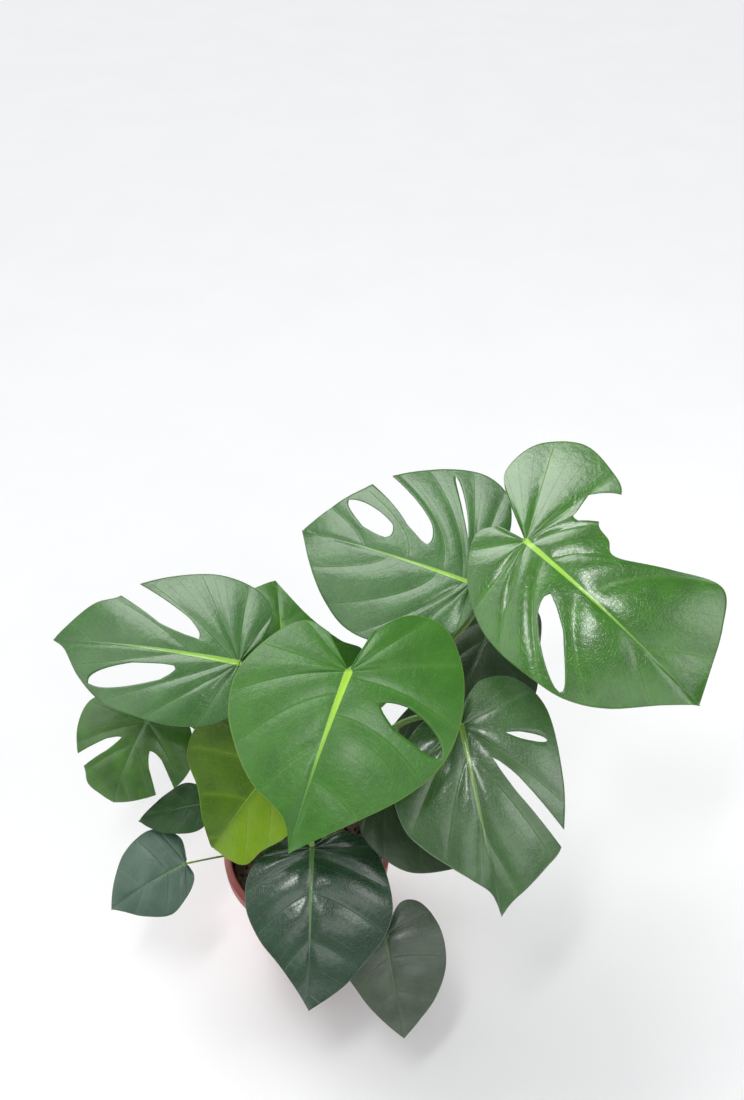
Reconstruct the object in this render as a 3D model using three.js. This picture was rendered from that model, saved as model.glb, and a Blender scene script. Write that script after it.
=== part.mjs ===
import * as THREE from 'three';
import { mergeVertices } from 'three/addons/utils/BufferGeometryUtils.js';

// A monstera in a nursery pot: leaves on long petioles that rise from four short stems.
// Millimetres, +Z up, origin at the centre of the pot's underside, the plant's front towards -Y.

const potHeight = 128;
const potRimRadius = 85;
const potRimTall = 15;
const potLipWide = 7.5;
const potBaseRadius = 56;
const potWall = 2.6;
const potFloor = 3;
const soilTop = 112;
const gap = 0.35;
const bladeThick = 1.0;
const petioleTaper = 0.62;
const closedShare = 0.95; // holes end by this share of the vein, so the rim runs on past them
const stemRadius = 8;

// Stems stand on the soil: foot x and y, height, lean of the top in x and y.
const stems = {
  left: { foot: [-26, 4], tall: 56, lean: [-5, 2], radius: stemRadius },
  right: { foot: [24, 10], tall: 62, lean: [6, 3], radius: stemRadius },
  front: { foot: [6, -26], tall: 44, lean: [1, -5], radius: stemRadius - 1 },
  back: { foot: [-2, 32], tall: 50, lean: [0, 5], radius: stemRadius - 1 },
};

// Each leaf: base point, turn about Z, drop of the tip, roll about the midrib, midrib length.
// arch lifts the midrib; rise and sag shape each half; veinFrom and veinBend place the feet of the
// veins on the midrib, and bow curves the veins. rim points run from the sinus round the basal lobe
// to the tip. A slit follows the vein that ends at its rim position, from one share of the vein to
// another; its half widths, inside and at the mouth, are counted in rim points, as one number or
// as one towards the sinus and one towards the tip.
const leaves = {
  centre: {
    at: [47, -2, 400], turn: -111, drop: 30, roll: -3, length: 157, arch: 10, width: 105,
    veinFrom: 0.45, veinBend: 1.7, bow: 0.45, rows: 20, columns: 7, color: 0x4a8a36,
    plus: {
      rise: 4, sag: 16,
      rim: [[-42, 6], [-68, 32], [-66, 64], [-32, 91], [12, 103], [52, 99], [86, 78], [120, 43], [157, 0]],
      slits: [{ at: 4.9, from: 0.34, to: 0.94, wide: 0.36 }],
    },
    minus: {
      rise: 4, sag: 14,
      rim: [
        [-30, -30], [-35, -56], [-12, -78], [25, -94], [60, -90],
        [90, -71], [114, -46], [132, -12], [157, 0],
      ],
      slits: [],
    },
  },
  left: {
    at: [-50, 24, 382], turn: 160, drop: 12, roll: -24, length: 205, arch: 12, width: 75,
    veinFrom: 0.5, veinBend: 2.5, bow: 0.25, rows: 20, columns: 7, color: 0x4c7440,
    plus: {
      rise: 5, sag: 16,
      rim: [[-12, 15], [-14, 38], [12, 57], [48, 65], [88, 62], [124, 54], [156, 34], [182, 10], [205, 0]],
      slits: [{ at: 5.7, from: 0.32, to: 0.94, wide: 0.5 }],
    },
    minus: {
      rise: 5, sag: 16,
      rim: [
        [-13, -24], [-12, -56], [12, -76], [50, -84], [88, -79],
        [126, -66], [142, -48], [170, -36], [205, 0],
      ],
      slits: [{ at: 5.5, from: 0.28, to: 1, wide: 0.6, mouth: 0.42 }],
    },
  },
  back: {
    at: [157, 90, 417], turn: 146, drop: 9, roll: -27, length: 197, arch: 8, width: 95,
    veinFrom: 0.3, veinBend: 2.2, bow: 0.8, rows: 22, columns: 7, color: 0x587c4c,
    plus: {
      rise: 4, sag: 14,
      rim: [[-13, 13], [-4, 48], [30, 76], [66, 83], [100, 79], [130, 63], [156, 41], [178, 19], [197, 0]],
      slits: [],
    },
    minus: {
      rise: 4, sag: 16,
      rim: [
        [-10, -20], [-9, -64], [12, -99], [48, -114], [88, -107],
        [118, -92], [134, -79], [162, -48], [181, -24], [197, 0],
      ],
      slits: [
        { at: 3.7, from: 0.38, to: 0.92, wide: 0.1 },
        { at: 6.1, from: 0.28, to: 1, wide: 0.36, mouth: 0.3 },
        { at: 7.1, from: 0.34, to: 0.94, wide: 0.36 },
      ],
    },
  },
  upper_right: {
    at: [204, 104, 455], turn: -44, drop: 19, roll: 28, length: 203, arch: 16, width: 95,
    veinFrom: 0.38, veinBend: 2, bow: 0.5, rows: 24, columns: 7, color: 0x3f8a35,
    plus: {
      rise: 6, sag: 14,
      rim: [
        [-38, 18], [-66, 40], [-66, 82], [-34, 109], [6, 103], [30, 89], [34, 56],
        [52, 49], [67, 42], [108, 66], [148, 86], [172, 60], [190, 26], [203, 0],
      ],
      slits: [{ at: 5.2, from: 0.55, to: 1, wide: [1.3, 0.4], mouth: [0.2, 0.8] }],
    },
    minus: {
      rise: 4, sag: 16,
      rim: [
        [-29, -4], [-39, -26], [-14, -60], [22, -82], [56, -88],
        [92, -85], [122, -78], [152, -58], [180, -25], [203, 0],
      ],
      slits: [{ at: 5.9, from: 0.28, to: 0.94, wide: 0.42 }],
    },
  },
  right: {
    at: [144, -21, 350], turn: -76, drop: 36, roll: 12, length: 162, arch: 12, width: 75,
    veinFrom: 0.5, veinBend: 1.5, bow: 0.35, rows: 20, columns: 7, color: 0x567a4a,
    plus: {
      rise: 6, sag: 16,
      rim: [
        [-19, 7], [-36, 26], [-32, 56], [0, 77], [60, 76], [98, 68],
        [118, 60], [130, 44], [142, 26], [152, 10], [162, 0],
      ],
      slits: [
        { at: 3.5, from: 0.48, to: 0.9, wide: 0.08 },
        { at: 5.5, from: 0.34, to: 1, wide: 0.5, mouth: 0.35 },
      ],
    },
    minus: {
      rise: 6, sag: 14,
      rim: [
        [-12, -8], [-11, -30], [10, -54], [44, -69], [76, -66],
        [96, -52], [113, -34], [128, -17], [142, -4], [162, 0],
      ],
      slits: [],
    },
  },
  lower_left: {
    at: [-147, 36, 285], turn: -125, drop: 46, roll: -12, length: 86, arch: 8, width: 62,
    veinFrom: 0.45, veinBend: 1.4, bow: 0.3, rows: 16, columns: 5, color: 0x3d7040,
    plus: {
      rise: 4, sag: 12,
      rim: [[-8, 4], [-20, 16], [-12, 38], [14, 57], [40, 54], [58, 38], [66, 29], [76, 16], [86, 0]],
      slits: [{ at: 4.6, from: 0.38, to: 1, wide: 0.4, mouth: 0.4 }],
    },
    minus: {
      rise: 4, sag: 12,
      rim: [[-6, -10], [-8, -40], [8, -64], [34, -65], [58, -54], [68, -40], [80, -30], [84, -14], [86, 0]],
      slits: [{ at: 4.5, from: 0.34, to: 1, wide: 0.4, mouth: 0.4 }],
    },
  },
  lime: {
    at: [-4, -26, 330], turn: -157, drop: 53, roll: -24, length: 140, arch: 4, width: 62,
    veinFrom: 0.35, veinBend: 1.3, bow: 0.3, rows: 12, columns: 3, color: 0x7e9e2c,
    plus: {
      rise: 10, sag: 6,
      rim: [[-2, 10], [10, 36], [32, 49], [60, 52], [92, 42], [116, 38], [128, 22], [140, 0]],
      slits: [],
    },
    minus: {
      rise: 12, sag: 8,
      rim: [[-2, -10], [4, -40], [26, -66], [56, -82], [90, -74], [104, -44], [122, -22], [140, 0]],
      slits: [],
    },
  },
  small_left: {
    at: [-90, -16, 228], turn: 180, drop: 23, roll: -14, length: 76, arch: 5, width: 28,
    veinFrom: 0.35, veinBend: 1.3, bow: 0.3, rows: 10, columns: 3, color: 0x2a4a30,
    plus: { rise: 3, sag: 6, rim: [[-2, 5], [2, 20], [18, 26], [44, 21], [62, 11], [76, 0]], slits: [] },
    minus: { rise: 3, sag: 6, rim: [[-2, -6], [6, -18], [24, -25], [44, -18], [60, -8], [76, 0]], slits: [] },
  },
  heart: {
    at: [-109, -59, 192], turn: -163, drop: 29, roll: -20, length: 88, arch: 8, width: 40,
    veinFrom: 0.35, veinBend: 1.3, bow: 0.3, rows: 12, columns: 3, color: 0x46665a,
    plus: {
      rise: 3, sag: 8,
      rim: [[-2, 3], [-2, 16], [10, 28], [30, 36], [56, 24], [74, 10], [88, 0]],
      slits: [],
    },
    minus: {
      rise: 3, sag: 8,
      rim: [[-2, -3], [-3, -26], [14, -44], [34, -48], [56, -39], [74, -18], [88, 0]],
      slits: [],
    },
  },
  front: {
    at: [12, -70, 236], turn: -91, drop: 39, roll: -3, length: 140, arch: 16, width: 68,
    veinFrom: 0.4, veinBend: 1.3, bow: 0.3, rows: 16, columns: 4, color: 0x35564a,
    plus: {
      rise: 5, sag: 16,
      rim: [[-6, 5], [-14, 28], [-6, 52], [16, 66], [50, 74], [76, 67], [98, 49], [118, 30], [140, 0]],
      slits: [],
    },
    minus: {
      rise: 5, sag: 14,
      rim: [[-6, -7], [-8, -22], [4, -44], [24, -57], [50, -58], [76, -46], [98, -27], [120, -11], [140, 0]],
      slits: [],
    },
  },
  young: {
    at: [79, -118, 168], turn: -76, drop: 43, roll: 10, length: 93, arch: 8, width: 48,
    veinFrom: 0.35, veinBend: 1.3, bow: 0.3, rows: 12, columns: 3, color: 0x5a6c52,
    plus: {
      rise: 4, sag: 8,
      rim: [[-10, 5], [-25, 20], [-20, 38], [4, 51], [34, 50], [60, 36], [78, 17], [93, 0]],
      slits: [],
    },
    minus: {
      rise: 4, sag: 8,
      rim: [[-9, -5], [-14, -20], [0, -37], [22, -42], [44, -33], [60, -24], [78, -11], [93, 0]],
      slits: [],
    },
  },
  low_right: {
    at: [75, -24.5, 281], turn: -7, drop: 27, roll: 22, length: 140, arch: 8, width: 75,
    veinFrom: 0.4, veinBend: 1.3, bow: 0.3, rows: 14, columns: 4, color: 0x27452c,
    plus: {
      rise: 4, sag: 12,
      rim: [[-4, 8], [-6, 34], [2, 60], [16, 82], [42, 84], [72, 66], [106, 34], [140, 0]],
      slits: [],
    },
    minus: {
      rise: 4, sag: 8,
      rim: [[-6, -10], [-8, -34], [-2, -54], [20, -67], [52, -71], [90, -54], [122, -28], [140, 0]],
      slits: [],
    },
  },
  back_left: {
    at: [-15, 60, 335], turn: 98, drop: -10, roll: 4, length: 103, arch: 8, width: 62,
    veinFrom: 0.4, veinBend: 1.3, bow: 0.3, rows: 14, columns: 3, color: 0x3f7a34,
    plus: {
      rise: 3, sag: 12,
      rim: [[-8, 6], [-14, 28], [6, 48], [36, 53], [66, 46], [88, 32], [97, 14], [103, 0]],
      slits: [],
    },
    minus: {
      rise: 3, sag: 12,
      rim: [
        [-8, -8], [-14, -34], [-12, -62], [4, -78], [22, -77],
        [29, -56], [46, -34], [66, -18], [86, -7], [103, 0],
      ],
      slits: [],
    },
  },
  shade: {
    at: [196, 163, 305], turn: -115, drop: 16, roll: -4, length: 160, arch: 10, width: 62,
    veinFrom: 0.4, veinBend: 1.4, bow: 0.3, rows: 14, columns: 4, color: 0x35523a,
    plus: {
      rise: 4, sag: 12,
      rim: [[-10, 3], [-26, 20], [-14, 42], [34, 56], [72, 66], [108, 57], [136, 36], [160, 0]],
      slits: [],
    },
    minus: {
      rise: 4, sag: 12,
      rim: [[-6, -12], [-6, -34], [19, -46], [60, -45], [96, -38], [122, -28], [142, -16], [160, 0]],
      slits: [],
    },
  },
};

// Petioles: the stem they leave, the side of it in degrees, the height above the soil, how far
// they run upright, how far they run in under the leaf base, and the radius at the foot.
const petioles = {
  centre: { stem: 'right', side: 200, high: 34, upright: 130, under: 60, radius: 3.6 },
  left: { stem: 'left', side: 120, high: 36, upright: 130, under: 60, radius: 3.4 },
  back: { stem: 'back', side: 40, high: 34, upright: 130, under: 70, radius: 3.4 },
  upper_right: { stem: 'back', side: 80, high: 30, upright: 140, under: 100, radius: 3.6 },
  right: { stem: 'right', side: 330, high: 44, upright: 230, under: 30, radius: 3.4 },
  lower_left: { stem: 'left', side: 170, high: 30, upright: 90, under: 60, radius: 2.8 },
  lime: { stem: 'left', side: 300, high: 40, upright: 90, under: 40, radius: 2.8 },
  small_left: { stem: 'left', side: 220, high: 24, upright: 50, under: 40, radius: 2.2 },
  heart: { stem: 'left', side: 250, high: 10, upright: 20, under: 30, radius: 1.3 },
  front: { stem: 'front', side: 270, high: 24, upright: 50, under: 40, radius: 3 },
  young: { stem: 'front', side: 330, high: 12, upright: 40, under: 40, radius: 2 },
  low_right: { stem: 'front', side: 20, high: 28, upright: 60, under: 40, radius: 2.6 },
  back_left: { stem: 'back', side: 170, high: 34, upright: 90, under: 50, radius: 2.8 },
  shade: { stem: 'right', side: 60, high: 40, upright: 60, under: 60, radius: 3 },
};

const plant = new THREE.Group();

function add(name, geometry, color, roughness, position) {
  const material = new THREE.MeshStandardMaterial({ color, roughness, metalness: 0 });
  const mesh = new THREE.Mesh(geometry, material);
  mesh.name = name;
  if (position) mesh.position.set(...position);
  plant.add(mesh);
  return mesh;
}

// Catmull-Rom through the rim points; position counts points from the sinus.
function rimPoint(rim, position) {
  const last = rim.length - 1;
  const i = Math.min(Math.floor(position), last - 1);
  const f = position - i;
  const p = [i - 1, i, i + 1, i + 2].map((k) => rim[Math.max(0, Math.min(last, k))]);
  return [0, 1].map((c) => 0.5 * (2 * p[1][c] + (p[2][c] - p[0][c]) * f
    + (2 * p[0][c] - 5 * p[1][c] + 4 * p[2][c] - p[3][c]) * f * f
    + (3 * p[1][c] - p[0][c] - 3 * p[2][c] + p[3][c]) * f ** 3));
}

const clamp = (value) => Math.min(1, Math.max(0, value));

// A point of the blade: share runs from sinus to tip, out runs along the vein to the rim.
function bladePoint(leaf, half, share, out) {
  const rim = rimPoint(half.rim, share * (half.rim.length - 1));
  const foot = leaf.length * clamp((share - leaf.veinFrom) / (1 - leaf.veinFrom)) ** leaf.veinBend;
  const curl = leaf.bow * clamp((share - 0.3) * 3) * clamp((1 - share) * 5);
  const bow = curl * Math.hypot(rim[0] - foot, rim[1]) * out * (1 - out);
  return [foot + (rim[0] - foot) * out - bow, rim[1] * out];
}

function bladeHeight(leaf, half, x, y) {
  const along = x / leaf.length;
  const across = Math.abs(y) / leaf.width;
  return 4 * leaf.arch * along * (1 - along) + half.rise * across - half.sag * across * across;
}

// Half width of a slit at a share of the vein, rounded at the inner end.
function slitWidth(slit, out, side) {
  const u = (out - slit.from) / (slit.to - slit.from);
  if (u <= 0 || u > 1) return 0;
  const [wide, mouth] = [slit.wide, slit.mouth].map((value) => (Array.isArray(value) ? value[side] : value));
  const body = wide * Math.min(1, Math.sqrt(u * 3));
  return slit.mouth ? body + (mouth - wide) * u : body * Math.sqrt(Math.max(0, 1 - u ** 3));
}

// Rows of one half, opened at its slits: each finger between two slits is a patch of rows.
function halfPatches(leaf, half) {
  const last = half.rim.length - 1;
  const cuts = half.slits.map((slit) => {
    const at = slit.at / last;
    return { slit, at, row: Math.round(at * leaf.rows) };
  });
  const edges = [{ at: 0, row: 0 }, ...cuts, { at: 1, row: leaf.rows }];
  const shareAt = (edge, out, side) => {
    const foot = edge.row / leaf.rows;
    const opening = edge.slit ? slitWidth(edge.slit, out, side) / last : 0;
    return foot + (edge.at - foot) * Math.min(1, out * 3) + (side ? opening : -opening);
  };
  const patches = [];
  for (let k = 0; k + 1 < edges.length; k += 1) {
    const count = edges[k + 1].row - edges[k].row;
    const patch = [];
    for (let row = 0; row <= count; row += 1) {
      const line = [];
      for (let column = 0; column <= leaf.columns; column += 1) {
        const out = column === leaf.columns ? 1 : (closedShare * column) / (leaf.columns - 1);
        const low = shareAt(edges[k], out, 1);
        const high = shareAt(edges[k + 1], out, 0);
        const [x, y] = bladePoint(leaf, half, low + ((high - low) * row) / count, out);
        line.push(new THREE.Vector3(x, y, bladeHeight(leaf, half, x, y)));
      }
      patch.push(line);
    }
    patches.push(patch);
  }
  return patches;
}

// The mid surface as welded triangles, facing up.
function bladeSheet(leaf) {
  const points = [];
  const lookup = new Map();
  const faces = [];
  const index = (p) => {
    const key = [p.x, p.y].map((v) => Math.round(v * 200)).join();
    if (!lookup.has(key)) {
      lookup.set(key, points.length);
      points.push(p);
    }
    return lookup.get(key);
  };
  for (const [half, flip] of [[leaf.plus, true], [leaf.minus, false]]) {
    for (const patch of halfPatches(leaf, half)) {
      for (let r = 0; r + 1 < patch.length; r += 1) {
        for (let c = 0; c < leaf.columns; c += 1) {
          const ring = [patch[r][c], patch[r][c + 1], patch[r + 1][c + 1], patch[r + 1][c]].map(index);
          for (const face of [[ring[0], ring[1], ring[2]], [ring[0], ring[2], ring[3]]]) {
            const real = face[0] !== face[1] && face[1] !== face[2] && face[0] !== face[2];
            if (real) faces.push(flip ? face.reverse() : face);
          }
        }
      }
    }
  }
  return { points, faces };
}

// A closed blade: the sheet moved half the thickness each way along its normals, with walls.
function bladeGeometry(leaf) {
  const { points, faces } = bladeSheet(leaf);
  const normals = points.map(() => new THREE.Vector3());
  const edges = new Map();
  for (const face of faces) {
    const [a, b, c] = face.map((i) => points[i]);
    const n = new THREE.Vector3().crossVectors(b.clone().sub(a), c.clone().sub(a));
    face.forEach((i, k) => {
      normals[i].add(n);
      edges.set(`${i},${face[(k + 1) % 3]}`, [i, face[(k + 1) % 3]]);
    });
  }
  normals.forEach((normal) => normal.normalize());
  const offset = (side) => points.map((p, i) => p.clone().addScaledVector(normals[i], side));
  const vertices = [...offset(bladeThick / 2), ...offset(-bladeThick / 2)];
  const count = points.length;
  const indices = [];
  for (const [a, b, c] of faces) indices.push(a, b, c, a + count, c + count, b + count);
  for (const [a, b] of edges.values()) {
    if (!edges.has(`${b},${a}`)) indices.push(b, a, a + count, b, a + count, b + count);
  }
  const geometry = new THREE.BufferGeometry();
  const numbers = vertices.flatMap((v) => v.toArray());
  geometry.setAttribute('position', new THREE.Float32BufferAttribute(numbers, 3));
  geometry.setIndex(indices);
  geometry.computeVertexNormals();
  return geometry;
}

// A closed round tube along a curve with a radius for every share of it.
function tubeGeometry(curve, radiusAt, steps, sides) {
  const frames = curve.computeFrenetFrames(steps, false);
  const positions = [];
  for (let i = 0; i <= steps; i += 1) {
    const centre = curve.getPointAt(i / steps);
    for (let k = 0; k < sides; k += 1) {
      const angle = (2 * Math.PI * k) / sides;
      const p = centre.clone()
        .addScaledVector(frames.normals[i], Math.cos(angle) * radiusAt(i / steps))
        .addScaledVector(frames.binormals[i], Math.sin(angle) * radiusAt(i / steps));
      positions.push(...p.toArray());
    }
  }
  positions.push(...curve.getPointAt(0).toArray(), ...curve.getPointAt(1).toArray());
  const first = (steps + 1) * sides;
  const indices = [];
  for (let k = 0; k < sides; k += 1) {
    const next = (k + 1) % sides;
    for (let i = 0; i < steps; i += 1) {
      const [a, b] = [i * sides + k, i * sides + next];
      indices.push(a, b, b + sides, a, b + sides, a + sides);
    }
    indices.push(first, next, k, first + 1, steps * sides + k, steps * sides + next);
  }
  const geometry = new THREE.BufferGeometry();
  geometry.setAttribute('position', new THREE.Float32BufferAttribute(positions, 3));
  geometry.setIndex(indices);
  geometry.computeVertexNormals();
  return geometry;
}

// A closed outline turned about the pot's axis, standing along Z.
function lathe(profile) {
  const turned = new THREE.LatheGeometry(profile, 48).deleteAttribute('uv').deleteAttribute('normal');
  const geometry = mergeVertices(turned);
  geometry.rotateX(Math.PI / 2);
  geometry.computeVertexNormals();
  return geometry;
}

// Pot: one thin wall with a deep plain band round the mouth.
const bandFoot = potHeight - potRimTall;
const neckRadius = potRimRadius - 4;
const lipInner = potRimRadius - potLipWide;

const potProfile = [
  [0, 0], [potBaseRadius - 1, 0], [potBaseRadius, 1], [neckRadius, bandFoot], [potRimRadius - 0.8, bandFoot],
  [potRimRadius, bandFoot + 1], [potRimRadius, potHeight - 1.5], [potRimRadius - 1.5, potHeight],
  [lipInner + 1, potHeight], [lipInner, potHeight - 1], [lipInner, bandFoot - 4],
  [potBaseRadius - potWall, potFloor], [0, potFloor],
].map(([r, z]) => new THREE.Vector2(r, z));
add('pot', lathe(potProfile), 0x9a4a44, 0.5);

// Soil fills the pot up to just under the lip, a little higher in the middle.
const soilRim = lipInner - gap;
const soilFoot = potFloor + gap;
const soilFootRadius = potBaseRadius - potWall - gap - 0.3;
const soilProfile = [
  [0, soilFoot], [soilFootRadius, soilFoot], [soilRim, bandFoot - 4], [soilRim, soilTop - 2],
  [soilRim - 14, soilTop - 1], [48, soilTop], [0, soilTop],
].map(([r, z]) => new THREE.Vector2(r, z));
add('soil', lathe(soilProfile), 0x3a2c22, 0.95);

function stemCurve(stem) {
  const foot = new THREE.Vector3(...stem.foot, soilTop + gap);
  const middle = new THREE.Vector3(...stem.foot, foot.z + stem.tall / 2);
  const top = new THREE.Vector3(stem.foot[0] + stem.lean[0], stem.foot[1] + stem.lean[1], foot.z + stem.tall);
  return new THREE.QuadraticBezierCurve3(foot, middle, top);
}

for (const [name, stem] of Object.entries(stems)) {
  const taper = (share) => stem.radius * (1 - 0.25 * share);
  add(`stem_${name}`, tubeGeometry(stemCurve(stem), taper, 5, 12), 0x6c7c46, 0.7);
}

function leafTurn(leaf) {
  const radians = [leaf.roll, leaf.drop, leaf.turn].map((angle) => (angle * Math.PI) / 180);
  return new THREE.Euler(...radians, 'ZYX');
}

for (const [name, leaf] of Object.entries(leaves)) {
  const mesh = add(`leaf_${name}`, bladeGeometry(leaf), leaf.color, 0.45, leaf.at);
  mesh.rotation.copy(leafTurn(leaf));
}

for (const [name, petiole] of Object.entries(petioles)) {
  const leaf = leaves[name];
  const stem = stems[petiole.stem];
  const side = (petiole.side * Math.PI) / 180;
  const out = new THREE.Vector3(Math.cos(side), Math.sin(side), 0);
  const start = stemCurve(stem).getPoint(petiole.high / stem.tall);
  start.addScaledVector(out, stem.radius + petiole.radius + gap);
  const upright = start.clone().addScaledVector(out, petiole.upright * 0.12);
  upright.z += petiole.upright;
  const into = new THREE.Vector3(0.42, 0, 0.91).applyEuler(leafTurn(leaf));
  const end = new THREE.Vector3(-1, 0, -bladeThick / 2 - 2).applyEuler(leafTurn(leaf));
  end.add(new THREE.Vector3(...leaf.at));
  const under = end.clone().addScaledVector(into, -petiole.under);
  const curve = new THREE.CubicBezierCurve3(start, upright, under, end);
  const taper = (share) => petiole.radius * (1 + (petioleTaper - 1) * share);
  add(`petiole_${name}`, tubeGeometry(curve, taper, 12, 8), 0x6f9440, 0.5);
}

export default plant;
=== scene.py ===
import math
import random

import bpy
import numpy as np
from mathutils import Euler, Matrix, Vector


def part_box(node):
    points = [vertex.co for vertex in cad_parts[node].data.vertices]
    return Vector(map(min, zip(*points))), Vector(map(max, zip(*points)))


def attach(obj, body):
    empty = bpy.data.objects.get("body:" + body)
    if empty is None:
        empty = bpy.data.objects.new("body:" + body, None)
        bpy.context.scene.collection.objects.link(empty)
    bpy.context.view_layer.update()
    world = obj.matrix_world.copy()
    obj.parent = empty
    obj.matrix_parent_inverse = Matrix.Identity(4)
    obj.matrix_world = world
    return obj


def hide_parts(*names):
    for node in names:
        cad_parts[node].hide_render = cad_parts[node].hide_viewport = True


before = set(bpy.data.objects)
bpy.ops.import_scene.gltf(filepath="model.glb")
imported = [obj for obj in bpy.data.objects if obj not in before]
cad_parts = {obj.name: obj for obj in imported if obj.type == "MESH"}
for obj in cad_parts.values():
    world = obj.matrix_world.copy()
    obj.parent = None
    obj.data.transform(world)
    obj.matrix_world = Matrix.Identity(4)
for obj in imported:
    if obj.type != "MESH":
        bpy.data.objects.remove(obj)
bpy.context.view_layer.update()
print("frame loaded:", len(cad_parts), "nodes")

mm = 0.001
random.seed(7)
noiseRng = np.random.default_rng(7)


# ---- camera, light, floor ----

camera = {"lens": 35.02, "place": (0.0666, -0.6115, 1.0885), "tilt": 48.0}

cameraTurn = (math.radians(camera["tilt"]), 0, 0)
bpy.ops.object.camera_add(location=camera["place"], rotation=cameraTurn)
bpy.context.object.data.lens = camera["lens"]
bpy.context.scene.camera = bpy.context.object
bpy.context.scene.view_settings.view_transform = "Standard"

# Broad soft suns: compass bearing from the back edge round to the right, height, strength, width in degrees
suns = {
    "window": (318, 48, 2.1, 42),
    "leftGlow": (262, 30, 0.65, 44),
}
for name, (bearing, height, strength, width) in suns.items():
    turn = (math.radians(90 - height), 0, math.radians(180 - bearing))
    bpy.ops.object.light_add(type="SUN", location=(0, 0, 2), rotation=turn)
    lamp = bpy.context.object
    lamp.name = name
    lamp.data.energy = strength
    lamp.data.angle = math.radians(width)

# place, point aimed at, size in metres, watts
panels = {
    "brightStrip": ((-0.17, -0.52, 1.88), (0.22, 0.06, 0.44), (0.14, 0.42), 6.0),
    "rightPanel": ((0.98, -0.55, 1.39), (0.05, -0.05, 0.3), (0.6, 0.7), 4.0),
    "frontPanel": ((0.39, -1.34, 1.35), (0.05, -0.05, 0.3), (1.3, 0.6), 3.6),
}
for name, (place, aim, size, watts) in panels.items():
    aimTurn = (Vector(aim) - Vector(place)).to_track_quat("-Z", "Y").to_euler()
    bpy.ops.object.light_add(type="AREA", location=place, rotation=aimTurn)
    lamp = bpy.context.object
    lamp.name = name
    lamp.data.shape = "RECTANGLE"
    lamp.data.size, lamp.data.size_y = size
    lamp.data.energy = watts

room = {"air": (0.95, 0.97, 1.0), "airStrength": 0.38, "floorSize": 14.0}

world = bpy.data.worlds.new("room")
world.use_nodes = True
world.node_tree.nodes["Background"].inputs["Color"].default_value = (*room["air"], 1)
world.node_tree.nodes["Background"].inputs["Strength"].default_value = room["airStrength"]
bpy.context.scene.world = world


# ---- shader help ----

def paint(red, green, blue):
    # screen colour to linear light
    def linear(c):
        return ((c / 255 + 0.055) / 1.055) ** 2.4 if c > 10 else c / 255 / 12.92

    return (linear(red), linear(green), linear(blue), 1.0)


class Wire:
    # a node output that takes part in sums

    def __init__(self, shader, socket):
        self.shader = shader
        self.socket = socket

    def sum(self, operation, *values):
        return self.shader.node("ShaderNodeMath", {"operation": operation}, dict(enumerate(values)))

    def __add__(self, other):
        return self.sum("ADD", self, other)

    def __radd__(self, other):
        return self.sum("ADD", other, self)

    def __sub__(self, other):
        return self.sum("SUBTRACT", self, other)

    def __rsub__(self, other):
        return self.sum("SUBTRACT", other, self)

    def __mul__(self, other):
        return self.sum("MULTIPLY", self, other)

    def __rmul__(self, other):
        return self.sum("MULTIPLY", other, self)

    def __pow__(self, other):
        return self.sum("POWER", self, other)

    def absolute(self):
        return self.sum("ABSOLUTE", self)

    def fraction(self):
        return self.sum("FRACT", self)

    def larger(self, other):
        return self.sum("MAXIMUM", self, other)


class Shader:
    # one material and the nodes in it

    def __init__(self, name):
        self.material = bpy.data.materials.new(name)
        self.material.use_nodes = True
        self.tree = self.material.node_tree
        self.surface = self.tree.nodes["Principled BSDF"]

    def node(self, kind, settings=None, inputs=None, output=0):
        made = self.tree.nodes.new(kind)
        for key, value in (settings or {}).items():
            setattr(made, key, value)
        for key, value in (inputs or {}).items():
            self.feed(made.inputs[key], value)
        return Wire(self, made.outputs[output])

    def feed(self, socket, value):
        if isinstance(value, Wire):
            self.tree.links.new(value.socket, socket)
        else:
            socket.default_value = value

    def set(self, **inputs):
        for key, value in inputs.items():
            self.feed(self.surface.inputs[key.replace("_", " ")], value)

    def mix(self, amount, first, second):
        settings = {"data_type": "RGBA", "clamp_factor": True}
        return self.node("ShaderNodeMix", settings, {0: amount, 6: first, 7: second}, 2)

    def step(self, value, low, high, start=0.0, end=1.0):
        settings = {"interpolation_type": "SMOOTHSTEP"}
        return self.node("ShaderNodeMapRange", settings, {0: value, 1: low, 2: high, 3: start, 4: end})

    def noise(self, vector, scale, detail=2.0, rough=0.5):
        inputs = {"Vector": vector, "Scale": scale, "Detail": detail, "Roughness": rough}
        return self.node("ShaderNodeTexNoise", {}, inputs)

    def cells(self, vector, scale, feature="DISTANCE_TO_EDGE"):
        return self.node("ShaderNodeTexVoronoi", {"feature": feature}, {"Vector": vector, "Scale": scale})

    def stretch(self, vector, scale):
        return self.node("ShaderNodeMapping", {}, {"Vector": vector, "Scale": scale})

    def split(self, vector):
        return [self.node("ShaderNodeSeparateXYZ", {}, {0: vector}, k) for k in range(3)]

    def bump(self, height, distance):
        return self.node("ShaderNodeBump", {}, {"Height": height, "Distance": distance, "Strength": 1.0})

    def objectPlace(self):
        return self.node("ShaderNodeTexCoord", {}, {}, "Object")


# ---- mesh help ----

def selectOnly(*pieces):
    bpy.ops.object.select_all(action="DESELECT")
    for piece in pieces:
        piece.select_set(True)
    bpy.context.view_layer.objects.active = pieces[0]


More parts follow.
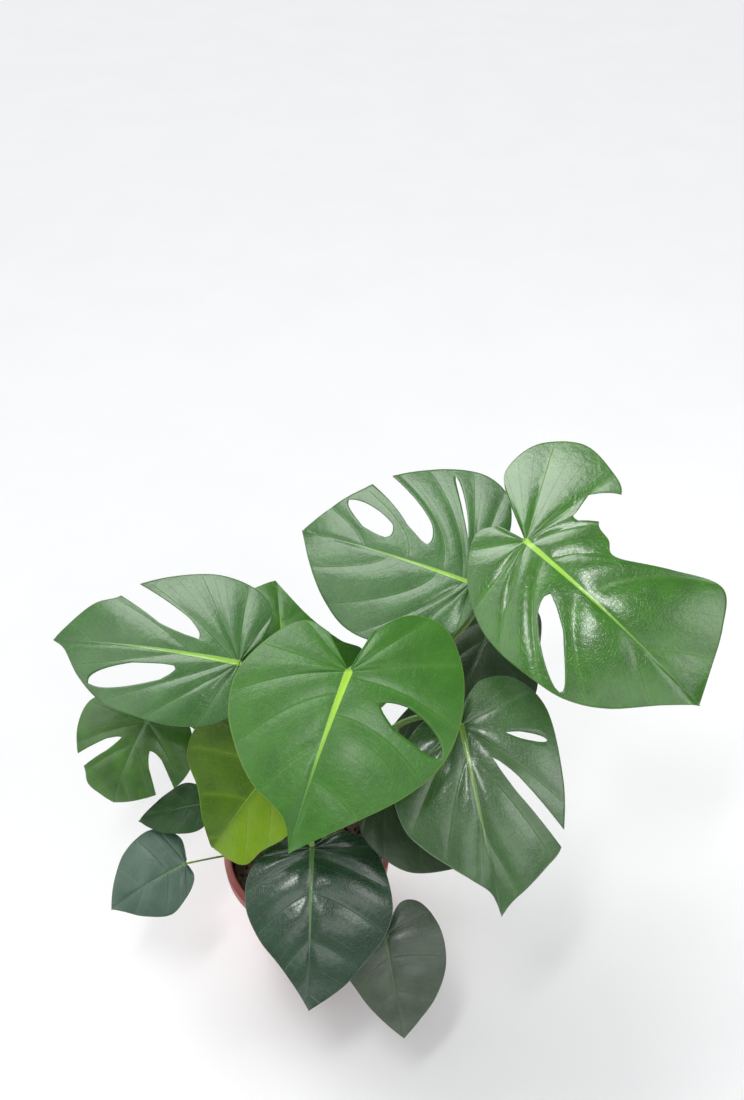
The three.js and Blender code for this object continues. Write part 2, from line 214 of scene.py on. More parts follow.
def gridPiece(points, maps):
    # a grid primitive laid over rows of points; maps are UV maps given point by point
    rows, columns = points.shape[:2]
    bpy.ops.object.select_all(action="DESELECT")
    bpy.ops.mesh.primitive_grid_add(x_subdivisions=columns - 1, y_subdivisions=rows - 1, size=1)
    piece = bpy.context.object
    mesh = piece.data
    mesh.vertices.foreach_set("co", points.reshape(-1))
    corners = np.zeros(len(mesh.loops), dtype=np.int32)
    mesh.loops.foreach_get("vertex_index", corners)
    while mesh.uv_layers:
        mesh.uv_layers.remove(mesh.uv_layers[0])
    for name, values in maps.items():
        layer = mesh.uv_layers.new(name=name)
        layer.uv.foreach_set("vector", values.reshape(-1, 2)[corners].reshape(-1).astype(np.float32))
    return piece


def joinPieces(pieces, name, weld=0.00002):
    selectOnly(*pieces)
    if len(pieces) > 1:
        bpy.ops.object.join()
    piece = bpy.context.object
    piece.name = name
    piece.data.name = name
    bpy.ops.object.mode_set(mode="EDIT")
    bpy.ops.mesh.select_all(action="SELECT")
    bpy.ops.mesh.remove_doubles(threshold=weld)
    bpy.ops.object.mode_set(mode="OBJECT")
    return piece


def closeEnds(piece):
    selectOnly(piece)
    bpy.ops.object.mode_set(mode="EDIT")
    bpy.ops.mesh.select_all(action="DESELECT")
    bpy.ops.mesh.select_mode(type="EDGE")
    bpy.ops.mesh.select_non_manifold()
    bpy.ops.mesh.fill_holes(sides=0)
    bpy.ops.mesh.select_all(action="SELECT")
    bpy.ops.mesh.normals_make_consistent(inside=False)
    bpy.ops.object.mode_set(mode="OBJECT")


def smooth(piece, degrees=None):
    selectOnly(piece)
    if degrees is None:
        bpy.ops.object.shade_smooth()
    else:
        bpy.ops.object.shade_smooth_by_angle(angle=math.radians(degrees))


def finish(piece, node, slot, *materials):
    piece.data.materials.clear()
    for material in materials:
        piece.data.materials.append(material)
    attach(piece, "root")
    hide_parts(node)


def boxCentre(node):
    low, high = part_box(node)
    return (low + high) / 2


# ---- leaf blades ----

# Lengths in millimetres. turn, drop and roll are degrees about Z, the cross axis and the midrib.
# arch lifts the midrib, rise and sag shape each half. rim runs from the sinus round the basal lobe
# to the tip. A slit follows a vein; at and the half widths are counted in rim points.
# veins is the number of lateral veins in a half, quilt the swelling between them, wave the
# height, count and phase of the rim's waves.
leaves = {
    "centre": {
        "at": (47, -2, 400), "turn": -111, "drop": 30, "roll": -3, "length": 157, "arch": 10, "width": 105,
        "veinFrom": 0.45, "veinBend": 1.7, "bow": 0.45, "rows": 96, "columns": 40, "midrib": 3.6,
        "tone": "bright", "slot": "leaf_green",
        "plus": {
            "rise": 4, "sag": 16, "veins": 6, "shift": 0.83, "quilt": 1.9, "wave": (1.5, 2.2, 0.2),
            "rim": [(-42, 6), (-68, 32), (-66, 64), (-32, 91), (12, 103), (52, 99), (86, 78),
                    (120, 43), (157, 0)],
            "slits": [{"at": 4.9, "from": 0.36, "to": 0.96, "wide": 0.36}],
        },
        "minus": {
            "rise": 4, "sag": 14, "veins": 6, "shift": 0.3, "quilt": 1.9, "wave": (1.5, 2.0, 0.6),
            "rim": [(-30, -30), (-35, -56), (-12, -78), (25, -94), (60, -90), (90, -71),
                    (114, -46), (132, -12), (157, 0)],
            "slits": [],
        },
    },
    "left": {
        "at": (-50, 24, 382), "turn": 160, "drop": 12, "roll": -24, "length": 205, "arch": 12, "width": 75,
        "veinFrom": 0.5, "veinBend": 2.5, "bow": 0.25, "rows": 96, "columns": 36, "midrib": 2.6,
        "tone": "sage", "slot": "leaf_sage",
        "plus": {
            "rise": 5, "sag": 16, "veins": 6, "shift": 0.23, "quilt": 2.0, "wave": (1.5, 2.5, 0.1),
            "rim": [(-12, 15), (-14, 38), (12, 57), (48, 65), (88, 62), (124, 54), (156, 34),
                    (182, 10), (205, 0)],
            "slits": [{"at": 5.7, "from": 0.33, "to": 0.96, "wide": 0.5}],
        },
        "minus": {
            "rise": 5, "sag": 16, "veins": 6, "shift": 0.38, "quilt": 2.0, "wave": (1.5, 2.1, 0.5),
            "rim": [(-13, -24), (-12, -56), (12, -76), (50, -84), (88, -79), (126, -66),
                    (142, -48), (170, -36), (205, 0)],
            "slits": [{"at": 5.5, "from": 0.28, "to": 1, "wide": 0.6, "mouth": 0.42}],
        },
    },
    "back": {
        "at": (157, 90, 417), "turn": 146, "drop": 9, "roll": -27, "length": 197, "arch": 8, "width": 95,
        "veinFrom": 0.3, "veinBend": 2.2, "bow": 0.8, "rows": 104, "columns": 38, "midrib": 2.3,
        "tone": "sage", "slot": "leaf_sage",
        "plus": {
            "rise": 4, "sag": 14, "veins": 6, "shift": 0.3, "quilt": 2.2, "wave": (1.5, 2.5, 0.3),
            "rim": [(-13, 13), (-4, 48), (30, 76), (66, 83), (100, 79), (130, 63), (156, 41),
                    (178, 19), (197, 0)],
            "slits": [],
        },
        "minus": {
            "rise": 4, "sag": 16, "veins": 8, "shift": 0.15, "quilt": 2.0, "wave": (1.5, 2.0, 0.8),
            "rim": [(-10, -20), (-9, -64), (12, -99), (48, -114), (88, -107), (118, -92),
                    (134, -79), (162, -48),
                    (181, -24), (197, 0)],
            "slits": [
                {"at": 3.7, "from": 0.38, "to": 0.92, "wide": 0.1},
                {"at": 6.1, "from": 0.28, "to": 1, "wide": 0.36, "mouth": 0.3},
                {"at": 7.1, "from": 0.34, "to": 0.96, "wide": 0.36},
            ],
        },
    },
    "upper_right": {
        "at": (204, 104, 455), "turn": -44, "drop": 19, "roll": 28, "length": 203, "arch": 16, "width": 95,
        "veinFrom": 0.38, "veinBend": 2.0, "bow": 0.5, "rows": 112, "columns": 38, "midrib": 2.7,
        "tone": "gloss", "slot": "leaf_glossy",
        "plus": {
            "rise": 6, "sag": 14, "veins": 7, "shift": 0.7, "quilt": 2.4, "wave": (2.5, 2.5, 0.3),
            "rim": [(-38, 18), (-66, 40), (-66, 82), (-34, 109), (6, 103), (30, 89), (34, 56),
                    (52, 49), (67, 42),
                    (108, 66), (148, 86), (172, 60), (190, 26), (203, 0)],
            "slits": [{"at": 5.2, "from": 0.55, "to": 1, "wide": (1.3, 0.4), "mouth": (0.2, 0.8)}],
        },
        "minus": {
            "rise": 4, "sag": 16, "veins": 7, "shift": 0.9, "quilt": 2.4, "wave": (2.5, 2.2, 0.0),
            "rim": [(-29, -4), (-39, -26), (-14, -60), (22, -82), (56, -88), (92, -85),
                    (122, -78), (152, -58),
                    (180, -25), (203, 0)],
            "slits": [{"at": 5.9, "from": 0.29, "to": 0.97, "wide": 0.42}],
        },
    },
    "right": {
        "at": (144, -21, 350), "turn": -76, "drop": 36, "roll": 12, "length": 162, "arch": 12, "width": 75,
        "veinFrom": 0.5, "veinBend": 1.5, "bow": 0.35, "rows": 100, "columns": 34, "midrib": 2.8,
        "tone": "greyGreen", "slot": "leaf_sage",
        "plus": {
            "rise": 6, "sag": 16, "veins": 5, "shift": 0.75, "quilt": 2.6, "wave": (2.0, 2.5, 0.2),
            "rim": [(-19, 7), (-36, 26), (-32, 56), (0, 77), (60, 76), (98, 68), (118, 60),
                    (130, 44), (142, 26),
                    (152, 10), (162, 0)],
            "slits": [
                {"at": 3.5, "from": 0.48, "to": 0.9, "wide": 0.08},
                {"at": 5.5, "from": 0.34, "to": 1, "wide": 0.5, "mouth": 0.35},
            ],
        },
        "minus": {
            "rise": 6, "sag": 14, "veins": 6, "shift": 0.1, "quilt": 2.4, "wave": (2.0, 2.0, 0.7),
            "rim": [(-12, -8), (-11, -30), (10, -54), (44, -69), (76, -66), (96, -52), (113, -34),
                    (128, -17),
                    (142, -4), (162, 0)],
            "slits": [],
        },
    },
    "lower_left": {
        "at": (-147, 36, 285), "turn": -125, "drop": 46, "roll": -12, "length": 86, "arch": 8, "width": 62,
        "veinFrom": 0.45, "veinBend": 1.4, "bow": 0.3, "rows": 80, "columns": 28, "midrib": 1.6,
        "tone": "forest", "slot": "leaf_dark",
        "plus": {
            "rise": 4, "sag": 12, "veins": 5, "shift": 0.63, "quilt": 1.5, "wave": (1.2, 2.5, 0.2),
            "rim": [(-8, 4), (-20, 16), (-12, 38), (14, 57), (40, 54), (58, 38), (66, 29),
                    (76, 16), (86, 0)],
            "slits": [{"at": 4.6, "from": 0.38, "to": 1, "wide": 0.4, "mouth": 0.4}],
        },
        "minus": {
            "rise": 4, "sag": 12, "veins": 5, "shift": 0.69, "quilt": 1.5, "wave": (1.2, 2.0, 0.7),
            "rim": [(-6, -10), (-8, -40), (8, -64), (34, -65), (58, -54), (68, -40), (80, -30),
                    (84, -14), (86, 0)],
            "slits": [{"at": 4.5, "from": 0.34, "to": 1, "wide": 0.4, "mouth": 0.4}],
        },
    },
    "lime": {
        "at": (-4, -26, 330), "turn": -157, "drop": 53, "roll": -24, "length": 140, "arch": 4, "width": 62,
        "veinFrom": 0.35, "veinBend": 1.3, "bow": 0.3, "rows": 80, "columns": 30, "midrib": 1.4,
        "tone": "lime", "slot": "leaf_lime",
        "plus": {
            "rise": 10, "sag": 6, "veins": 5, "shift": 0.3, "quilt": 1.2, "wave": (1.5, 2.5, 0.2),
            "rim": [(-2, 10), (10, 36), (32, 49), (60, 52), (92, 42), (116, 38), (128, 22), (140, 0)],
            "slits": [],
        },
        "minus": {
            "rise": 12, "sag": 8, "veins": 5, "shift": 0.3, "quilt": 1.2, "wave": (1.5, 2.0, 0.5),
            "rim": [(-2, -10), (4, -40), (26, -66), (56, -82), (90, -74), (104, -44), (122, -22), (140, 0)],
            "slits": [],
        },
    },
    "small_left": {
        "at": (-90, -16, 228), "turn": 180, "drop": 23, "roll": -14, "length": 76, "arch": 5, "width": 28,
        "veinFrom": 0.35, "veinBend": 1.3, "bow": 0.3, "rows": 60, "columns": 22, "midrib": 1.0,
        "tone": "dusk", "slot": "leaf_dark",
        "plus": {
            "rise": 3, "sag": 6, "veins": 5, "shift": 0.3, "quilt": 0.6, "wave": (0.8, 2.0, 0.2),
            "rim": [(-2, 5), (2, 20), (18, 26), (44, 21), (62, 11), (76, 0)], "slits": [],
        },
        "minus": {
            "rise": 3, "sag": 6, "veins": 5, "shift": 0.3, "quilt": 0.6, "wave": (0.8, 2.0, 0.6),
            "rim": [(-2, -6), (6, -18), (24, -25), (44, -18), (60, -8), (76, 0)], "slits": [],
        },
    },
    "heart": {
        "at": (-109, -59, 192), "turn": -163, "drop": 29, "roll": -20, "length": 88, "arch": 8, "width": 40,
        "veinFrom": 0.35, "veinBend": 1.3, "bow": 0.3, "rows": 70, "columns": 26, "midrib": 1.1,
        "tone": "blueGreen", "slot": "leaf_blue",
        "plus": {
            "rise": 3, "sag": 8, "veins": 5, "shift": 0.3, "quilt": 1.2, "wave": (1.0, 2.2, 0.2),
            "rim": [(-2, 3), (-2, 16), (10, 28), (30, 36), (56, 24), (74, 10), (88, 0)], "slits": [],
        },
        "minus": {
            "rise": 3, "sag": 8, "veins": 5, "shift": 0.3, "quilt": 1.2, "wave": (1.0, 2.0, 0.6),
            "rim": [(-2, -3), (-3, -26), (14, -44), (34, -48), (56, -39), (74, -18), (88, 0)], "slits": [],
        },
    },
    "front": {
        "at": (12, -70, 236), "turn": -91, "drop": 39, "roll": -3, "length": 140, "arch": 16, "width": 68,
        "veinFrom": 0.4, "veinBend": 1.3, "bow": 0.3, "rows": 90, "columns": 34, "midrib": 2.4,
        "tone": "deep", "slot": "leaf_blue",
        "plus": {
            "rise": 5, "sag": 16, "veins": 6, "shift": 0.3, "quilt": 2.8, "wave": (1.5, 2.2, 0.2),
            "rim": [(-6, 5), (-14, 28), (-6, 52), (16, 66), (50, 74), (76, 67), (98, 49),
                    (118, 30), (140, 0)],
            "slits": [],
        },
        "minus": {
            "rise": 5, "sag": 14, "veins": 6, "shift": 0.3, "quilt": 2.6, "wave": (1.5, 2.0, 0.6),
            "rim": [(-6, -7), (-8, -22), (4, -44), (24, -57), (50, -58), (76, -46), (98, -27),
                    (120, -11), (140, 0)],
            "slits": [],
        },
    },
    "young": {
        "at": (79, -118, 168), "turn": -76, "drop": 43, "roll": 10, "length": 93, "arch": 8, "width": 48,
        "veinFrom": 0.35, "veinBend": 1.3, "bow": 0.3, "rows": 70, "columns": 26, "midrib": 1.2,
        "tone": "olive", "slot": "leaf_olive",
        "plus": {
            "rise": 4, "sag": 8, "veins": 5, "shift": 0.3, "quilt": 1.8, "wave": (1.0, 2.2, 0.2),
            "rim": [(-10, 5), (-25, 20), (-20, 38), (4, 51), (34, 50), (60, 36), (78, 17),
                    (93, 0)],
            "slits": [],
        },
        "minus": {
            "rise": 4, "sag": 8, "veins": 5, "shift": 0.3, "quilt": 1.8, "wave": (1.0, 2.0, 0.6),
            "rim": [(-9, -5), (-14, -20), (0, -37), (22, -42), (44, -33), (60, -24), (78, -11),
                    (93, 0)],
            "slits": [],
        },
    },
    "low_right": {
        "at": (75, -24.5, 281), "turn": -7, "drop": 27, "roll": 22, "length": 140, "arch": 8, "width": 75,
        "veinFrom": 0.4, "veinBend": 1.3, "bow": 0.3, "rows": 84, "columns": 30, "midrib": 1.3,
        "tone": "night", "slot": "leaf_dark",
        "plus": {
            "rise": 4, "sag": 12, "veins": 6, "shift": 0.3, "quilt": 1.4, "wave": (1.0, 2.2, 0.2),
            "rim": [(-4, 8), (-6, 34), (2, 60), (16, 82), (42, 84), (72, 66), (106, 34),
                    (140, 0)],
            "slits": [],
        },
        "minus": {
            "rise": 4, "sag": 8, "veins": 6, "shift": 0.3, "quilt": 1.4, "wave": (1.0, 2.0, 0.6),
            "rim": [(-6, -10), (-8, -34), (-2, -54), (20, -67), (52, -71), (90, -54), (122, -28), (140, 0)],
            "slits": [],
        },
    },
    "back_left": {
        "at": (-15, 60, 335), "turn": 98, "drop": -10, "roll": 4, "length": 103, "arch": 8, "width": 62,
        "veinFrom": 0.4, "veinBend": 1.3, "bow": 0.3, "rows": 76, "columns": 28, "midrib": 1.9,
        "tone": "bright", "slot": "leaf_green",
        "plus": {
            "rise": 3, "sag": 12, "veins": 5, "shift": 0.3, "quilt": 1.4, "wave": (1.0, 2.2, 0.2),
            "rim": [(-8, 6), (-14, 28), (6, 48), (36, 53), (66, 46), (88, 32), (97, 14),
                    (103, 0)],
            "slits": [],
        },
        "minus": {
            "rise": 3, "sag": 12, "veins": 5, "shift": 0.3, "quilt": 1.4, "wave": (1.0, 2.0, 0.6),
            "rim": [(-8, -8), (-14, -34), (-12, -62), (4, -78), (22, -77), (29, -56), (46, -34),
                    (66, -18), (86, -7),
                    (103, 0)],
            "slits": [],
        },
    },
    "shade": {
        "at": (196, 163, 305), "turn": -115, "drop": 16, "roll": -4, "length": 160, "arch": 10, "width": 62,
        "veinFrom": 0.4, "veinBend": 1.4, "bow": 0.3, "rows": 84, "columns": 30, "midrib": 1.5,
        "tone": "night", "slot": "leaf_dark",
        "plus": {
            "rise": 4, "sag": 12, "veins": 6, "shift": 0.3, "quilt": 1.6, "wave": (1.0, 2.2, 0.2),
            "rim": [(-10, 3), (-26, 20), (-14, 42), (34, 56), (72, 66), (108, 57), (136, 36),
                    (160, 0)],
            "slits": [],
        },
        "minus": {
            "rise": 4, "sag": 12, "veins": 6, "shift": 0.3, "quilt": 1.6, "wave": (1.0, 2.0, 0.6),
            "rim": [(-6, -12), (-6, -34), (19, -46), (60, -45), (96, -38), (122, -28), (142, -16),
                    (160, 0)],
            "slits": [],
        },
    },
}

blade = {"thick": 0.7, "ribDeep": 1.6, "grooveDeep": 0.5}

# where a line on the blade begins and is full, in centimetres, and the scales of the rest
veinLook = {"lateral": (0.075, 0.02), "glow": (0.45, 0.02), "finer": (0.04, 0.016), "wobble": 0.03,
            "netScale": 3.4, "rim": (0.988, 0.996), "coatRough": 0.22, "bump": 0.0009}


def rimPoint(rim, position):
    # Catmull-Rom through the rim points for an array of positions
    rim = np.array(rim, dtype=float)
    last = len(rim) - 1
    i = np.minimum(np.floor(position).astype(int), last - 1)
    f = (position - i)[..., None]
    p = [rim[np.clip(i + k, 0, last)] for k in (-1, 0, 1, 2)]
    return 0.5 * (2 * p[1] + (p[2] - p[0]) * f + (2 * p[0] - 5 * p[1] + 4 * p[2] - p[3]) * f ** 2
                  + (3 * p[1] - p[0] - 3 * p[2] + p[3]) * f ** 3)


def bladePoint(leaf, half, share, out):
    rim = rimPoint(half["rim"], share * (len(half["rim"]) - 1))
    past = np.clip((share - leaf["veinFrom"]) / (1 - leaf["veinFrom"]), 0, 1)
    foot = leaf["length"] * past ** leaf["veinBend"]
    curl = leaf["bow"] * np.clip((share - 0.3) * 3, 0, 1) * np.clip((1 - share) * 5, 0, 1)
    bow = curl * np.hypot(rim[..., 0] - foot, rim[..., 1]) * out * (1 - out)
    return np.stack([foot + (rim[..., 0] - foot) * out - bow, rim[..., 1] * out], -1)


def slitWidth(slit, out, side):
    u = np.clip((out - slit["from"]) / (slit["to"] - slit["from"]), 0, 1)
    pick = lambda value: value[side] if isinstance(value, tuple) else value
    wide = pick(slit["wide"])
    body = wide * np.minimum(1, np.sqrt(u * 3))
    if "mouth" in slit:
        return np.where(u > 0, body + (pick(slit["mouth"]) - wide) * u, 0)
    return np.where((u > 0) & (u < 1), body * np.sqrt(np.maximum(0, 1 - u ** 3)), 0)


def bladeHeight(leaf, half, x, y, share, out, vein):
    along = x / leaf["length"]
    across = np.abs(y) / leaf["width"]
    z = 4 * leaf["arch"] * along * (1 - along) + half["rise"] * across - half["sag"] * across ** 2
    swell = half["quilt"] * (np.abs(np.sin(np.pi * vein)) ** 0.8 - 0.5)
    z += swell * np.clip(out * 5, 0, 1) * (1 - 0.6 * out ** 3) * np.clip((1 - share) * 8, 0, 1)
    height, count, phase = half["wave"]
    z += height * np.sin(2 * np.pi * (share * count + phase)) * out ** 2
    z -= blade["grooveDeep"] * np.exp(-(y / (1.2 * leaf["midrib"])) ** 2) * np.clip(along * 8, 0, 1)
    return z


def ribHalf(leaf, x):
    # half the midrib's width, in millimetres
    return leaf["midrib"] * (0.15 + 0.85 * np.clip(1 - x / leaf["length"], 0, 1.1) ** 1.6)


def halfPatches(leaf, half):
    last = len(half["rim"]) - 1
    edges = [(0.0, 0, None)]
    for slit in half["slits"]:
        edges.append((slit["at"] / last, round(slit["at"] / last * leaf["rows"]), slit))
    edges.append((1.0, leaf["rows"], None))
    even = np.linspace(0, 1, leaf["columns"] + 1)
    out = 0.5 * even + 0.5 * (0.5 - 0.5 * np.cos(np.pi * even))

    def shareAt(edge, side):
        at, row, slit = edge
        foot = row / leaf["rows"]
        opening = slitWidth(slit, out, side) / last if slit else 0
        return foot + (at - foot) * np.minimum(1, out * 3) + (opening if side else -opening)

    for low, high in zip(edges, edges[1:]):
        steps = np.linspace(0, 1, high[1] - low[1] + 1)[:, None]
        share = shareAt(low, 1) * (1 - steps) + shareAt(high, 0) * steps
        yield share, np.broadcast_to(out, share.shape)


def leafAxes(leaf):
    angles = [math.radians(leaf[key]) for key in ("roll", "drop", "turn")]
    return np.array(Euler(angles, "XYZ").to_matrix())


def makeBlade(name, leaf):
    patches = []
    for key, side in (("plus", 1), ("minus", -1)):
        half = leaf[key]
        for share, out in halfPatches(leaf, half):
            flat = bladePoint(leaf, half, share, out)
            vein = share * half["veins"] + half["shift"]
            near = bladePoint(leaf, half, np.clip(share + 0.01, 0, 1), out)
            gap = np.hypot(*np.moveaxis(near - flat, -1, 0)) * 100 / half["veins"]
            z = bladeHeight(leaf, half, flat[..., 0], flat[..., 1], share, out, vein)
            points = np.concatenate([flat, z[..., None]], -1)
            rib = flat[..., 1] / ribHalf(leaf, flat[..., 0])
            along = flat[..., 0] / leaf["length"]
            maps = {"rib": np.stack([rib, out], -1), "veins": np.stack([vein, out], -1),
                    "spread": np.stack([gap * 0.1, along], -1), "place": flat * 0.1}
            if side > 0:
                points = points[::-1]
                maps = {k: v[::-1] for k, v in maps.items()}
            patches.append(gridPiece(np.ascontiguousarray(points), maps))
    piece = joinPieces(patches, "blade_" + name, 0.01)

    # wall thickness, downwards from the upper face
    solid = piece.modifiers.new("wall", "SOLIDIFY")
    solid.thickness = blade["thick"]
    solid.offset = -1
    solid.use_even_offset = False
    solid.material_offset = 1
    solid.material_offset_rim = 2
    piece.data.materials.clear()
    for spare in range(3):
        piece.data.materials.append(None)
    bpy.ops.object.modifier_apply(modifier="wall")

    # the midrib stands proud under the blade
    mesh = piece.data
    place = np.zeros(len(mesh.vertices) * 3)
    mesh.vertices.foreach_get("co", place)
    place = place.reshape(-1, 3)
    under = np.zeros(len(mesh.vertices), dtype=bool)
    over = np.zeros(len(mesh.vertices), dtype=bool)
    for face in mesh.polygons:
        (under if face.material_index == 1 else over)[list(face.vertices)] = True
    under &= ~over
    x, y = place[:, 0], place[:, 1]
    half = ribHalf(leaf, x)
    rib = blade["ribDeep"] * np.exp(-(y / np.maximum(0.5, half)) ** 2) * np.clip((x + 4) / 6, 0, 1)
    place[:, 2] -= np.where(under, rib * half / leaf["midrib"], 0)

    place = place @ leafAxes(leaf).T * mm
    centre = boxCentre("leaf_" + name)
    shift = np.array(centre) - (place.min(0) + place.max(0)) / 2
    place += shift
    mesh.vertices.foreach_set("co", place.reshape(-1))
    mesh.update()
    smooth(piece)
    leaf["base"] = Vector(shift)  # where the petiole meets the blade
    return piece


# Screen colours of the blades: in two shades, veins, midrib and rim; how rough, how much of a clear
# coat and how strong the mirror is.
tones = {
    "bright": {"low": (42, 96, 10), "high": (54, 112, 18), "vein": (80, 138, 50), "midrib": (150, 200, 40),
               "rim": (110, 150, 60), "rough": 0.36, "coat": 0.1, "mirror": 0.5},
    "sage": {"low": (46, 92, 34), "high": (60, 108, 46), "vein": (92, 134, 76), "midrib": (136, 186, 60),
             "rim": (90, 122, 74), "rough": 0.27, "coat": 0.25, "mirror": 0.5},
    "gloss": {"low": (38, 90, 4), "high": (52, 112, 8), "vein": (92, 146, 52), "midrib": (148, 200, 58),
              "rim": (86, 132, 56), "rough": 0.2, "coat": 0.55, "mirror": 0.6},
    "greyGreen": {"low": (50, 86, 42), "high": (66, 104, 54), "vein": (98, 134, 82), "midrib": (116, 154, 62),
                  "rim": (86, 116, 76), "rough": 0.25, "coat": 0.5, "mirror": 0.65},
    "forest": {"low": (42, 82, 22), "high": (68, 116, 32), "vein": (82, 124, 60), "midrib": (96, 140, 84),
               "rim": (80, 120, 60), "rough": 0.32, "coat": 0.2, "mirror": 0.5},
    # on the lime blade, low and high are also the painted shade and painted light of its two halves
    "lime": {"low": (58, 96, 5), "high": (116, 152, 12), "vein": (130, 166, 34), "midrib": (132, 170, 40),
             "rim": (136, 166, 44), "rough": 0.26, "coat": 0.15, "mirror": 0.2},
    "night": {"low": (42, 62, 36), "high": (58, 80, 50), "vein": (62, 88, 54), "midrib": (74, 102, 58),
              "rim": (54, 80, 50), "rough": 0.36, "coat": 0.1, "mirror": 0.4},
    "dusk": {"low": (32, 64, 28), "high": (46, 82, 40), "vein": (62, 96, 56), "midrib": (78, 112, 60),
             "rim": (60, 90, 54), "rough": 0.34, "coat": 0.0, "mirror": 0.25},
    "blueGreen": {"low": (54, 82, 66), "high": (72, 100, 82), "vein": (82, 110, 88), "midrib": (92, 126, 80),
                  "rim": (76, 104, 88), "rough": 0.42, "coat": 0.1, "mirror": 0.5},
    "deep": {"low": (24, 54, 32), "high": (38, 72, 46), "vein": (62, 96, 66), "midrib": (84, 124, 58),
             "rim": (56, 88, 64), "rough": 0.24, "coat": 0.45, "mirror": 0.7},
    "olive": {"low": (64, 78, 62), "high": (84, 98, 80), "vein": (92, 108, 84), "midrib": (92, 112, 76),
              "rim": (80, 96, 76), "rough": 0.36, "coat": 0.2, "mirror": 0.5},
}


def bladeMaterials(tone, look):
    made = []
    for face in ("upper", "under", "edge"):
        shader = Shader("blade_" + tone + "_" + face)
        uv = lambda name: shader.split(shader.node("ShaderNodeUVMap", {"uv_map": name}))
        vein, out, spare = uv("veins")
        gap, along, spare = uv("spread")
        x, y, spare = uv("place")
        place = shader.node("ShaderNodeUVMap", {"uv_map": "place"})
        solid = shader.objectPlace()

        # distance in centimetres to the nearest lateral vein, and to the finer ones between
        lateral = ((vein + 0.5).fraction() - 0.5).absolute() * gap
        finer = ((vein * 4 + 0.5).fraction() - 0.5).absolute() * gap * 0.25
        inBlade = shader.step(out, 0.0, 0.06) * shader.step(out, 0.99, 0.9)
        wobble = shader.noise(place, 0.9, 2) * veinLook["wobble"]
        lateralLine = shader.step(lateral + wobble, *veinLook["lateral"]) * inBlade
        lateralGlow = shader.step(lateral, *veinLook["glow"]) * inBlade
        finerLine = shader.step(finer + wobble, *veinLook["finer"]) * inBlade
        net = shader.step(shader.cells(place, veinLook["netScale"]), 0.09, 0.0)

        # the midrib, and the knee where the petiole meets the blade
        ribShare, spare, spare = uv("rib")
        midrib = shader.step(ribShare.absolute(), 1.15, 0.8) * shader.step(x, -0.2, 0.1)
        knee = shader.step(x * x + y * y, 0.12, 0.05)
        ribMask = midrib.larger(knee)

        clouds = shader.noise(place, 0.35, 3, 0.55)
        mottle = shader.noise(place, 2.6, 4, 0.6)
        tint = shader.step(clouds * 0.9 + mottle * 0.1, 0.25, 0.75)
        if tone == "lime":  # painted light on the youngest blade: the half facing the light is painted paler and the half turned away painted darker, three quarters of the blend
            tint = tint * 0.25 + shader.step(y, -0.6, 0.9) * 0.75
        color = shader.mix(tint, paint(*look["low"]), paint(*look["high"]))
        color = shader.mix(net * 0.12, color, paint(*look["vein"]))
        color = shader.mix(finerLine * 0.16, color, paint(*look["vein"]))
        color = shader.mix(lateralGlow * 0.2, color, paint(*look["vein"]))
        color = shader.mix(lateralLine * 0.5, color, paint(*look["vein"]))
        ribTint = shader.mix(shader.step(along, 0.1, 0.8), paint(*look["midrib"]), paint(*look["vein"]))
        color = shader.mix(ribMask * shader.step(along, 1.05, 0.45, 0.25, 1.0), color, ribTint)
        rimLine = shader.step(out, *veinLook["rim"])
        color = shader.mix(rimLine * 0.7, color, paint(*look["rim"]))
        if face == "under":
            color = shader.mix(0.35, color, paint(*[min(255, c + 40) for c in look["high"]]))
        if face == "edge":
            color = shader.mix(0.7, color, paint(*look["rim"]))

        grain = shader.noise(solid, 900, 3, 0.6)
        pores = shader.cells(solid, 1500, "F1")
        swell = shader.noise(place, 1.6, 2, 0.5)
        rough = look["rough"] + (0 if face == "upper" else 0.2)
        roughness = shader.step(grain * 0.7 + mottle * 0.3, 0.3, 0.7, rough - 0.03, rough + 0.04)
        height = grain * 0.05 + pores * 0.03 + swell * 0.5 + net * -0.05
        height = height + finerLine * -0.12 + lateralLine * -0.35
        height = height + ribMask * (0.5 if face == "upper" else 0.3)
        shader.set(Base_Color=color, Roughness=roughness, Normal=shader.bump(height, veinLook["bump"]))
        shader.set(Specular_IOR_Level=look["mirror"])
        if face == "upper":
            shader.set(Coat_Weight=look["coat"], Coat_Roughness=veinLook["coatRough"])
        made.append(shader.material)
    return made


bladeLooks = {tone: bladeMaterials(tone, look) for tone, look in tones.items()}
for name, leaf in leaves.items():
    piece = makeBlade(name, leaf)
    finish(piece, "leaf_" + name, leaf["slot"], *bladeLooks[leaf["tone"]])
print("blades made:", len(leaves))


# ---- stems ----

stemLook = {"bark": (104, 116, 62), "scar": (128, 106, 72), "young": (112, 142, 70), "rings": 4,
            "steps": 48, "sides": 32, "taper": 0.26, "knot": 0.07}


def stemShader():
    shader = Shader("stem_skin")
    place = shader.objectPlace()
    along, around, spare = shader.split(shader.node("ShaderNodeUVMap", {"uv_map": "tube"}))
    streaks = shader.noise(shader.stretch(place, (260, 260, 24)), 1.0, 4, 0.6)
    blotch = shader.noise(place, 70, 4, 0.65)
    scar = shader.step(((along * stemLook["rings"] + 0.5).fraction() - 0.5).absolute(), 0.14, 0.03)
    color = shader.mix(streaks, paint(*stemLook["bark"]), paint(*stemLook["young"]))
    color = shader.mix(shader.step(blotch, 0.5, 0.7) * 0.6, color, paint(*stemLook["scar"]))
    color = shader.mix(scar * 0.7, color, paint(*stemLook["scar"]))
    height = streaks * 0.5 + blotch * 0.6 - scar * 0.4
    shader.set(Base_Color=color, Roughness=shader.step(streaks, 0.2, 0.8, 0.5, 0.75))
    shader.set(Normal=shader.bump(height, 0.0012))
    return shader.material


